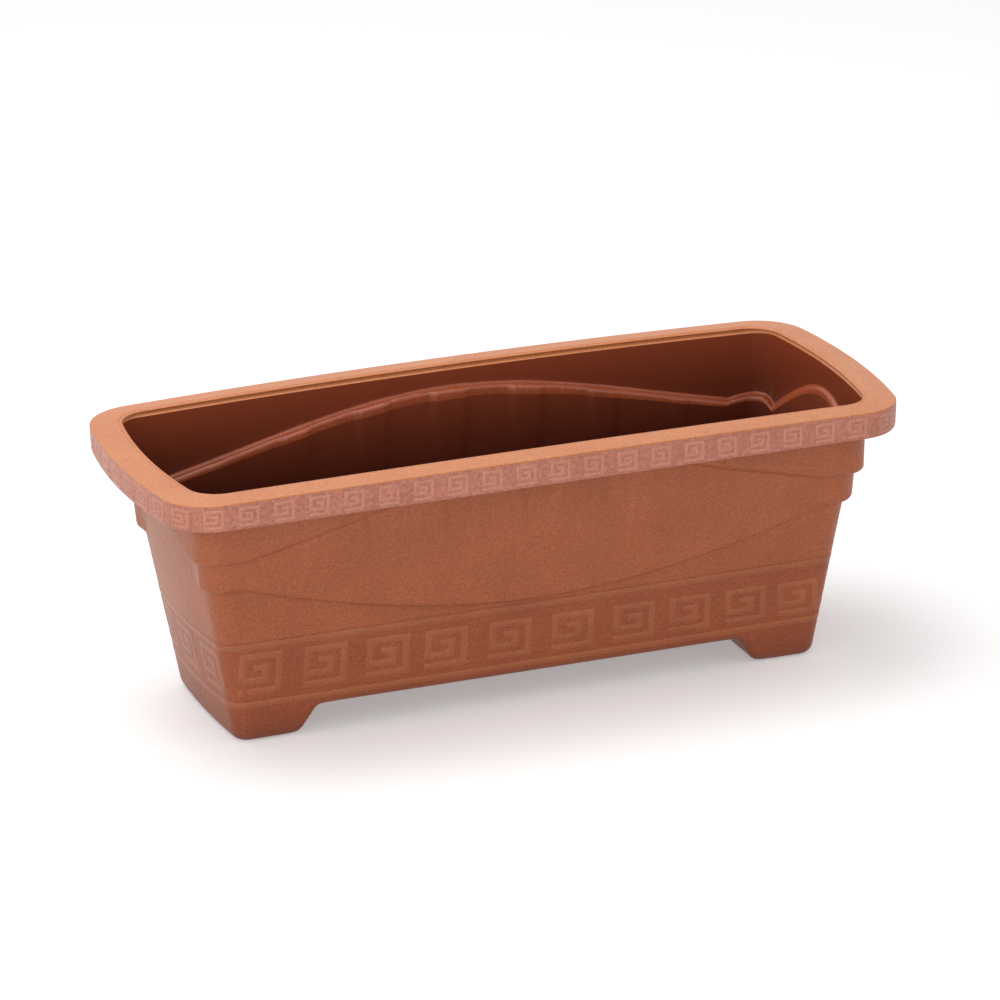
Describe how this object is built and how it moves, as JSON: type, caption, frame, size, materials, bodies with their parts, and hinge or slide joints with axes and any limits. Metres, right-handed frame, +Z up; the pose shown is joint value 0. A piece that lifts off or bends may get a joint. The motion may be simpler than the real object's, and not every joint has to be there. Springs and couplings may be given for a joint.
{
  "type": "window box planter",
  "caption": "Long terracotta-coloured plastic window box with a flanged rim, arched tiers in the walls, raised floor between end feet and pull-out drain plugs.",
  "frame": {"origin": "middle of the footprint, on the surface the feet stand on", "axes": "+Z up, +X along the length to the right as seen from the front, -Y towards the front"},
  "size_m": [0.5998, 0.25, 0.214],
  "materials": {
    "box_plastic": "moulded, lightly textured",
    "plug_plastic": "moulded, smooth"
  },
  "bodies": {
    "planter": {"planter_box": "box_plastic"},
    "plug_left": {"drain_plug_left": "plug_plastic"},
    "plug_right": {"drain_plug_right": "plug_plastic"}
  },
  "joints": [
    {"name": "plug_left_pull", "type": "slide", "parent": "planter", "child": "plug_left", "axis": [0, 0, -1], "range_m": [0, 0.014]},
    {"name": "plug_right_pull", "type": "slide", "parent": "planter", "child": "plug_right", "axis": [0, 0, -1], "range_m": [0, 0.014]}
  ]
}
